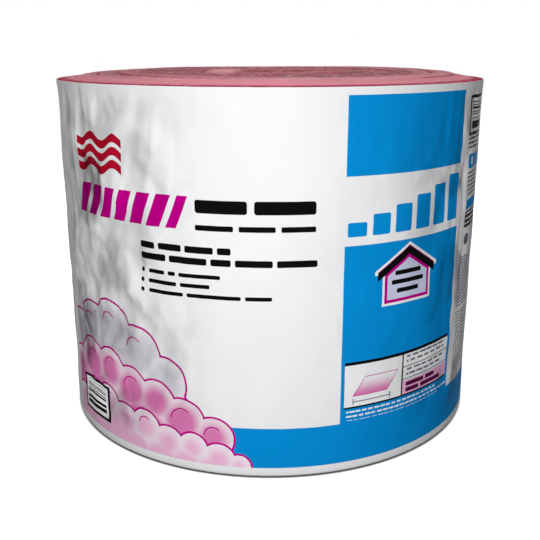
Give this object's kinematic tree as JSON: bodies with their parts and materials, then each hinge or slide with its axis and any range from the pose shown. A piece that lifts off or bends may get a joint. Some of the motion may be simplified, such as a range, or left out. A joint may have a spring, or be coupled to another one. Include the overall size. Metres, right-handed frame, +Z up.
{
  "type": "insulation roll",
  "caption": "Batt of pink glass wool wound into a tight roll, standing on end in a printed plastic film sleeve, with its spiral turns showing on both ends.",
  "frame": {"origin": "centre of the base, on the floor, on the roll's axis", "axes": "+Z up along the roll's axis; the sleeve's printed front faces -Y, and +X is to the right of a person who faces it"},
  "size_m": [0.7364, 0.7364, 0.5935],
  "materials": {
    "glass_wool": "matt, soft and fibrous, dusty pink, with fine layers along the turns",
    "printed_film": "thin glossy white film, softly dented and creased, printed in blue, magenta, red, black and pale pink"
  },
  "bodies": {
    "root": {"wound_batt": "glass_wool", "film_sleeve": "printed_film"}
  },
  "joints": []
}
